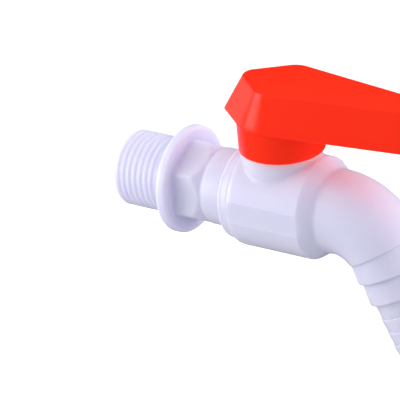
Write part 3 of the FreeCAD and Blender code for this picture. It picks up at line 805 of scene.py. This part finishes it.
    def inner_line(self) -> list[Point]:
        """The waterway, the seat's pocket and the chamber, from the tail back to the face."""
        end = self.tail_start + self.barb_first + self.barb_pitch * (self.barb_count - 1)
        return [
            (end - self.end_bevel, self.bore),
            (self.pocket_floor, self.bore),
            (self.pocket_floor, self.pocket_radius),
            (self.pocket_mouth, self.pocket_radius),
            (self.pocket_mouth, self.cavity_radius),
            (self.face, self.cavity_radius),
        ]

    def press_flats(self, shape: BMesh) -> None:
        """Press the housing's two sides in to their flats, which stand a little below their edges."""
        for vert in shape.verts:
            if vert.co.x > self.spout_start - CLOSE:
                continue
            share = max((vert.co.x - self.body_right) / (self.spout_start - self.body_right), 0.0)
            limit = self.flat_distance + (self.flat_end_distance - self.flat_distance) * share
            if abs(vert.co.y) > max(limit, self.cavity_radius + self.cavity_skin):
                vert.co.y = math.copysign(limit - self.flat_depth, vert.co.y)

    def curl(self, shape: BMesh) -> None:
        """Curl the straight spout down along its bend."""
        centre = Vector((self.spout_start, 0.0, -self.bend_radius))
        total = math.radians(self.bend_angle)
        for vert in shape.verts:
            along = vert.co.x - self.spout_start
            if along <= 0:
                continue
            angle = min(along / self.bend_radius, total)
            past = along - angle * self.bend_radius
            out = Vector((math.sin(angle), 0.0, math.cos(angle)))
            ahead = Vector((math.cos(angle), 0.0, -math.sin(angle)))
            side = Vector((0.0, vert.co.y, 0.0))
            vert.co = centre + out * (self.bend_radius + vert.co.z) + ahead * past + side

    def tube(self) -> BMesh:
        """The housing, spout and tail with their waterway, bored from above for the stem."""
        line = divided(self.outer_line() + self.inner_line(), self.row_spacing, closed=True)
        shape = spun(line, X_AXIS, Y_AXIS, self.steps)
        self.press_flats(shape)
        self.curl(shape)
        hole = rod(0.0, self.bonnet_height, self.counterbore, self.counterbore_steps)
        return met(shape, on_stem(hole), Meeting.BORE)

    def mark_flats(self, shape: BMesh) -> None:
        """Mark the flats' long edges, so that they stay crisp."""
        for edge in shape.edges:
            first, second = (vert.co for vert in edge.verts)
            if max(first.x, second.x) > self.spout_start or min(first.x, second.x) < self.flat_start:
                continue
            if min(abs(first.y), abs(second.y)) <= self.flat_side:
                continue
            lengthwise = abs(first.x - second.x) > self.flat_run * (first - second).length
            if lengthwise and math.degrees(edge.calc_face_angle(0.0)) > self.flat_crease:
                edge.seam = True

    def skin_height(self, x: float, y: float) -> float:
        """How high the housing's skin stands at a place beside the stem.

        Args:
            x: Place along the pipe.
            y: Place across it.

        Returns:
            The height above the pipe's axis.
        """
        radius = self.body_radius
        if x < self.shoulder_end:
            share = max((x - self.band_end) / (self.shoulder_end - self.band_end), 0.0)
            low = self.band_radius + self.band_step
            radius = low + (self.body_radius - low) * math.sin(share * math.pi / 2)
        if x < self.band_end:
            radius = self.band_radius - (self.band_end - x) * self.band_slope
        return math.sqrt(max(radius * radius - y * y, 0.0))

    def collar(self) -> BMesh:
        """The collar and bonnet around the stem, whose foot follows the housing in a small fillet.

        The foot is drawn at the height foot_mark, far above the rest, and its points are then let down from
        there to the housing's skin.
        """
        mark = self.foot_mark
        root, skirt = self.collar_foot
        fillet = self.collar_fillet
        line = [
            (self.ledge, self.counterbore),
            (mark + root[0], self.collar_radius + root[1]),
            (mark + skirt[0], self.collar_radius + fillet + skirt[1]),
        ]
        for sine, cosine in quarter(self.foot_steps):
            line.append((mark + fillet * (1 - cosine), self.collar_radius + fillet * (1 - sine)))
        line += rounded([
            (self.ledge, self.collar_radius),
            (self.collar_height, self.collar_radius, self.collar_round),
            (self.collar_height, self.bonnet_radius),
            (self.bonnet_height, self.bonnet_radius, self.bonnet_round),
            (self.bonnet_height, self.stem_bore + self.bonnet_bevel),
            (self.bonnet_height - self.bonnet_bevel, self.stem_bore),
            (self.ledge, self.stem_bore),
        ])[1:]
        shape = on_stem(spun(line, Z_AXIS, X_AXIS, self.steps))
        for vert in shape.verts:
            if vert.co.z > mark / 2:
                vert.co.z += self.skin_height(vert.co.x, vert.co.y) - mark
                vert.co.z = min(vert.co.z, self.collar_height - self.collar_round)
        return cleaned(shape)

    def stop_ring(self) -> BMesh:
        """The part ring whose two ends stop the lever."""
        start, gap = self.stop_window
        out = Vector((math.cos(math.radians(start)), math.sin(math.radians(start)), 0.0))
        heights = (self.collar_height - self.stop_sink, self.stop_height)
        radii = (self.bonnet_radius - self.stop_overlap, self.stop_radius)
        return on_stem(sector(heights, radii, out, self.stop_steps, math.radians(360.0 - gap)))

    def build(self) -> Object:
        """Build and dress the body."""
        shape = met(self.tube(), self.collar(), Meeting.WELD)
        shape = met(shape, self.stop_ring(), Meeting.WELD)
        self.mark_flats(shape)
        return settle(shape, "body_moulding", WHITE_PLASTIC, Body.HOUSING, "tap_body", 30.0)


# Lever handle

@dataclass
class LeverHandle:
    """The red lever: a drafted shell over a round boss, with hub and ribs inside, in millimetres.

    A disc is a centre (x, y) and a radius. The noses and tips are a reach from the stem and a radius.
    """

    base: float = 24.0
    top: float = 35.69
    head_round: float = 12.2
    nose: Point = (17.8, 2.2)
    top_nose: Point = (10.743, 3.5)
    top_corner: Triple = (1.539, 5.109, 5.5)
    tip: Point = (58.0, 4.6)
    top_tip: Point = (57.0, 3.0)
    edge_round: float = 0.45
    edge_steps: int = 5
    foot_round: float = 0.35
    foot_steps: int = 3
    wall_steps: int = 5
    wall: float = 2.0
    top_wall: float = 2.2
    mouth: float = 1.0
    boss_base: float = 15.54
    boss_radius: float = 11.76
    boss_draft: float = 1.6
    boss_rounds: Point = (0.2, 0.35)
    boss_root: tuple[Point, Point] = ((0.5, -1.4), (2.0, -1.6))
    boss_rows: float = 2.0
    boss_steps: int = 120
    skirt_radius: float = 9.6
    hub_radius: float = 6.6
    hub_base: float = 20.0
    hub_steps: int = 72
    socket_width: float = 7.12
    socket_top: float = 24.6
    lip_radius: float = 3.25
    lip_top: float = 25.8
    lip_lead: float = 0.5
    chamber_radius: float = 4.1
    chamber_top: float = 29.0
    chamber_steps: int = 48
    rib_thickness: float = 1.8
    rib_base: float = 25.2
    rib_end: float = 55.0
    rib_nose: float = 11.2
    rib_side: float = 8.8
    rib_overlap: float = 0.4
    roof_overlap: float = 0.3
    stop_rib: Triple = (8.35, 10.6, 15.9)
    stop_angle: float = 10.0
    stop_steps: int = 10
    arc_steps: int = 10
    line_steps: int = 8

    @property
    def ceiling(self) -> float:
        """The height of the hollow's roof."""
        return self.top - self.top_wall

    def discs(self, upper: bool, inset: float) -> list[Triple]:
        """The discs that the upper or the lower outline is stretched around, drawn in by an inset."""
        if upper:
            reach, radius = self.top_nose
            far, tip = self.top_tip
            x, y, corner = self.top_corner
            return [(radius - reach, 0.0, radius - inset), (x, -y, corner - inset),
                    (far - tip, 0.0, tip - inset), (x, y, corner - inset)]
        reach, radius = self.nose
        far, tip = self.tip
        middle = (0.0, 0.0, self.head_round - inset)
        return [(radius - reach, 0.0, radius - inset), middle, (far - tip, 0.0, tip - inset), middle]

    def ring(self, discs: Sequence[Triple]) -> list[Vector]:
        """The points of the outline stretched around some discs, in left-turning order."""
        angles = []
        pairs = list(zip(discs, [*discs[1:], discs[0]]))
        for (x, y, radius), (next_x, next_y, next_radius) in pairs:
            heading = math.atan2(next_y - y, next_x - x)
            lean = math.asin((next_radius - radius) / math.hypot(next_x - x, next_y - y))
            angles.append(heading - lean - math.pi / 2)
        points = []
        for index, ((x, y, radius), (next_x, next_y, next_radius)) in enumerate(pairs):
            first = angles[index - 1]
            sweep = (angles[index] - first) % math.tau
            for step in range(self.arc_steps + 1):
                angle = first + sweep * step / self.arc_steps
                points.append(Vector((x + radius * math.cos(angle), y + radius * math.sin(angle), 0.0)))
            away = Vector((math.cos(angles[index]), math.sin(angles[index]), 0.0))
            start = points[-1]
            end = Vector((next_x, next_y, 0.0)) + away * next_radius
            for step in range(1, self.line_steps):
                points.append(start.lerp(end, step / self.line_steps))
        return points

    def level(self, height: float, inset: float, share: float | None = None) -> list[Vector]:
        """One closed row of the shell.

        Args:
            height: Its height.
            inset: How far it is drawn in from the outer faces.
            share: Where it lies between the lower and the upper outline, or None to work it out.

        Returns:
            The row's points in the shared frame.
        """
        if share is None:
            share = min((height - self.base) / (self.top - self.edge_round / 2 - self.base), 1.0)
        lower = self.ring(self.discs(False, inset))
        upper = self.ring(self.discs(True, inset))
        lift = Vector((STEM_X, 0.0, height))
        return [low.lerp(high, share) + lift for low, high in zip(lower, upper)]

    def shell(self) -> BMesh:
        """The head and arm, open below, with a rounded top edge."""
        brow = self.top - self.edge_round
        rows = []
        for sine, cosine in quarter(self.foot_steps):
            inset = self.foot_round * (1 - sine)
            rows.append(self.level(self.base + self.foot_round * (1 - cosine), inset))
        for step in range(1, self.wall_steps):
            rows.append(self.level(self.base + (brow - self.base) * (step / self.wall_steps), 0.0))
        for sine, cosine in quarter(self.edge_steps):
            inset = self.edge_round * (1 - cosine)
            rows.append(self.level(brow + self.edge_round * sine, inset))
        hollow = [self.level(self.base - self.mouth, self.wall, 0.0), self.level(self.base, self.wall, 0.0),
                  self.level(self.ceiling, self.wall, 1.0)]
        return met(lofted(rows), lofted(hollow), Meeting.BORE)

    def boss(self) -> BMesh:
        """The drafted skirt below the head."""
        flare = self.boss_radius + (self.base - self.boss_base) * math.tan(math.radians(self.boss_draft))
        inner_round, outer_round = self.boss_rounds
        root = shifted(self.boss_root, self.base, flare)
        line = rounded([
            (self.boss_base, self.skirt_radius, inner_round),
            (self.boss_base, self.boss_radius, outer_round),
            (self.base, flare),
            *root,
            (root[-1][0], self.skirt_radius),
        ], closed=True)
        return spun(divided(line, self.boss_rows, closed=True), Z_AXIS, X_AXIS, self.boss_steps)

    def hub(self) -> BMesh:
        """The hub with its square socket, its lip and the room for the snap head."""
        roof = self.ceiling + self.roof_overlap
        tube = rod(self.hub_base, roof, self.hub_radius, self.hub_steps)
        half = self.socket_width / 2
        socket = block((-half, -half, self.hub_base - self.mouth), (half, half, self.socket_top))
        low = self.socket_top - self.lip_lead
        room = spun([(low, 0.0), (low, self.lip_radius), (self.lip_top, self.lip_radius),
                     (self.lip_top, self.chamber_radius), (self.chamber_top, self.chamber_radius),
                     (self.chamber_top, 0.0)], Z_AXIS, X_AXIS, self.chamber_steps, closed=False)
        return met(met(tube, socket, Meeting.BORE), room, Meeting.BORE)

    def ribs(self) -> list[BMesh]:
        """The spine and cross ribs between the hub and the shell's walls."""
        half = self.rib_thickness / 2
        roof = self.ceiling + self.roof_overlap
        near = self.hub_radius - self.rib_overlap
        low = self.rib_base
        return [
            block((near, -half, low), (self.rib_end, half, roof)),
            block((-self.rib_nose, -half, low), (-near, half, roof)),
            block((-half, near, low), (half, self.rib_side, roof)),
            block((-half, -self.rib_side, low), (half, -near, roof)),
        ]

    def stop(self) -> BMesh:
        """The rib inside the skirt that meets the body's stops."""
        inner, outer, low = self.stop_rib
        turn = math.radians(self.stop_angle)
        out = Vector((math.cos(turn), -math.sin(turn), 0.0))
        return sector((low, self.hub_base), (inner, outer), out, self.stop_steps, turn * 2)

    def build(self) -> Object:
        """Build and dress the handle."""
        parts = [self.boss(), self.hub(), *self.ribs(), self.stop()]
        shape = joined([self.shell(), *map(on_stem, parts)])
        return settle(shape, "lever", RED_PLASTIC, Body.LEVER, "lever_handle", 30.0)


# Studio

@dataclass(frozen=True)
class SoftBox:
    """A square soft light that faces the stem.

    Its spot and size are in metres and its power in watts. The spot is measured from the stem, along the
    shared axes, or, where it goes by the camera, along the camera's right, up and back.
    """

    name: str
    spot: Triple
    size: float
    power: float
    by_camera: bool = False
    lever_only: bool = False
    diffuse: bool = True
    glossy: bool = True

    def build(self, aim: Vector, offset: Vector) -> Object:
        """Build the light.

        Args:
            aim: What it faces.
            offset: Its spot, from there along the shared axes.

        Returns:
            The light's object.
        """
        data = bpy.data.lights.new(self.name, "AREA")
        data.size = self.size
        data.energy = self.power
        light = placed(self.name, data)
        light.location = aim + offset
        light.rotation_euler = (aim - light.location).to_track_quat("-Z", "Y").to_euler()
        light.visible_diffuse = self.diffuse
        light.visible_glossy = self.glossy
        return light


LIGHTS = (
    SoftBox("key", (-0.5, 0.6, 0.45), 0.45, 0.4, by_camera=True, glossy=False),
    SoftBox("side", (-0.31, -0.23, 0.05), 0.26, 0.66),
    SoftBox("edge", (-0.36, 0.11, -0.12), 0.3, 0.16, diffuse=False),
    SoftBox("behind", (0.56, 0.36, 0.22), 0.45, 2.8, glossy=False),
    SoftBox("below", (0.1, 0.12, -0.48), 0.3, 2.6, lever_only=True, glossy=False),
)


@dataclass
class Studio:
    """The camera, the lights, the world and the floor.

    The angles are in degrees and camera_offset is in millimetres from the stem. The world is brightest at
    bright_side, which is along the camera's right, up and back.
    """

    azimuth: float = 35.07
    elevation: float = 24.95
    roll: float = -3.90
    camera_offset: Triple = (710.167, -1051.636, 591.823)
    focal_pixels: float = 5193.58
    floor_drop: float = 1.5 * MM
    floor_reach: float = 3.0
    world_span: Point = (0.64, 1.16)
    world_gloss: float = 0.0
    bright_side: Triple = (-0.3, 0.8, -0.25)

    def along_view(self, spot: Triple) -> Vector:
        """Turn a spot along the camera's right, up and back into the shared axes."""
        right, up, back = self.view_axes()
        return up * spot[1] + right * spot[0] + back * spot[2]

    def view_axes(self) -> tuple[Vector, Vector, Vector]:
        """Work out the camera's right, up and back directions from its angles."""
        azimuth, elevation, roll = map(math.radians, (self.azimuth, self.elevation, self.roll))
        flat = Vector((math.sin(azimuth), -math.cos(azimuth), 0.0))
        back = flat * math.cos(elevation) + Z_AXIS * math.sin(elevation)
        level = Vector((math.cos(azimuth), math.sin(azimuth), 0.0))
        upright = back.cross(level)
        right = level * math.cos(roll) + upright * math.sin(roll)
        up = upright * math.cos(roll) - level * math.sin(roll)
        return right, up, back

    def add_camera(self, middle: Vector) -> None:
        """Place the camera at the photograph's angle to the stem."""
        data = bpy.data.cameras.new("camera")
        data.sensor_width = SENSOR_WIDTH
        data.lens = self.focal_pixels / IMAGE_SIZE * SENSOR_WIDTH
        camera = placed("camera", data)
        turn = Matrix(self.view_axes()).transposed().to_4x4()
        camera.matrix_world = Matrix.Translation(middle + Vector(self.camera_offset) * MM) @ turn
        bpy.context.scene.camera = camera

    def add_lights(self, middle: Vector, lever: Object) -> None:
        """Add the lights, of which some shine on the lever only, so that its red spills on the spout."""
        lit = bpy.data.collections.new("lever_only")
        lit.objects.link(lever)
        for box in LIGHTS:
            light = box.build(middle, self.along_view(box.spot) if box.by_camera else Vector(box.spot))
            if box.lever_only:
                light.light_linking.receiver_collection = lit
                light.light_linking.blocker_collection = lit

    def add_world(self) -> None:
        """Fill the surroundings with a pale light, brighter towards one side and hidden from gloss."""
        world = bpy.data.worlds.new("studio")
        world.use_nodes = True
        nodes = world.node_tree.nodes
        links = world.node_tree.links
        shade = nodes["Background"]
        shade.inputs["Color"].default_value = (1.0, 1.0, 1.0, 1.0)
        place = nodes.new("ShaderNodeTexCoord")
        lean = nodes.new("ShaderNodeVectorMath")
        lean.operation = "DOT_PRODUCT"
        lean.inputs[1].default_value = self.along_view(self.bright_side).normalized()
        spread = add_range(nodes, (-1.0, 1.0, *self.world_span))
        path = nodes.new("ShaderNodeLightPath")
        dim = add_range(nodes, (0.0, 1.0, 1.0, self.world_gloss))
        both = nodes.new("ShaderNodeMath")
        both.operation = "MULTIPLY"
        links.new(place.outputs["Generated"], lean.inputs[0])
        links.new(lean.outputs["Value"], spread.inputs["Value"])
        links.new(path.outputs["Is Glossy Ray"], dim.inputs["Value"])
        links.new(spread.outputs["Result"], both.inputs[0])
        links.new(dim.outputs["Result"], both.inputs[1])
        links.new(both.outputs["Value"], shade.inputs["Strength"])
        bpy.context.scene.world = world

    def add_floor(self, level: float) -> None:
        """Lay the floor at a height below the object, where it neither lights nor shades it."""
        shape = bmesh.new()
        bmesh.ops.create_grid(shape, x_segments=1, y_segments=1, size=self.floor_reach)
        bmesh.ops.translate(shape, vec=(0.0, 0.0, level), verts=shape.verts)
        floor = placed("floor", poured(shape, "floor"))
        floor.data.materials.append(Backdrop().build())
        floor.visible_diffuse = False
        floor.visible_glossy = False
        floor.visible_shadow = False
        floor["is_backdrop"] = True

    def build(self, low: Vector, lever: Object) -> None:
        """Set up everything around the object.

        Args:
            low: The object's lowest corner.
            lever: The lever, whose hollow underside throws its red on the spout.
        """
        middle = X_AXIS * (STEM_X * MM)
        bpy.context.scene.view_settings.view_transform = "Standard"
        self.add_camera(middle)
        self.add_world()
        self.add_floor(low.z - self.floor_drop)
        self.add_lights(middle, lever)


def dress_nodes() -> None:
    """Give every CAD node that shows its own mesh its finish."""
    for name, finish in NODE_FINISH.items():
        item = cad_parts[name]
        material = finish.build()
        if not item.material_slots:
            item.data.materials.append(material)
        for slot in item.material_slots:
            slot.material = material
        log.info("%s wears %s", name, finish.name)


def main() -> None:
    """Build the looks around the frame."""
    logging.basicConfig(level=logging.INFO, format="%(message)s")
    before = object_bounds()
    dress_nodes()
    InletConnector().build()
    TapBody().build()
    lever = LeverHandle().build()
    Studio().build(Vector(before[0]), lever)


if __name__ == "__main__":
    main()
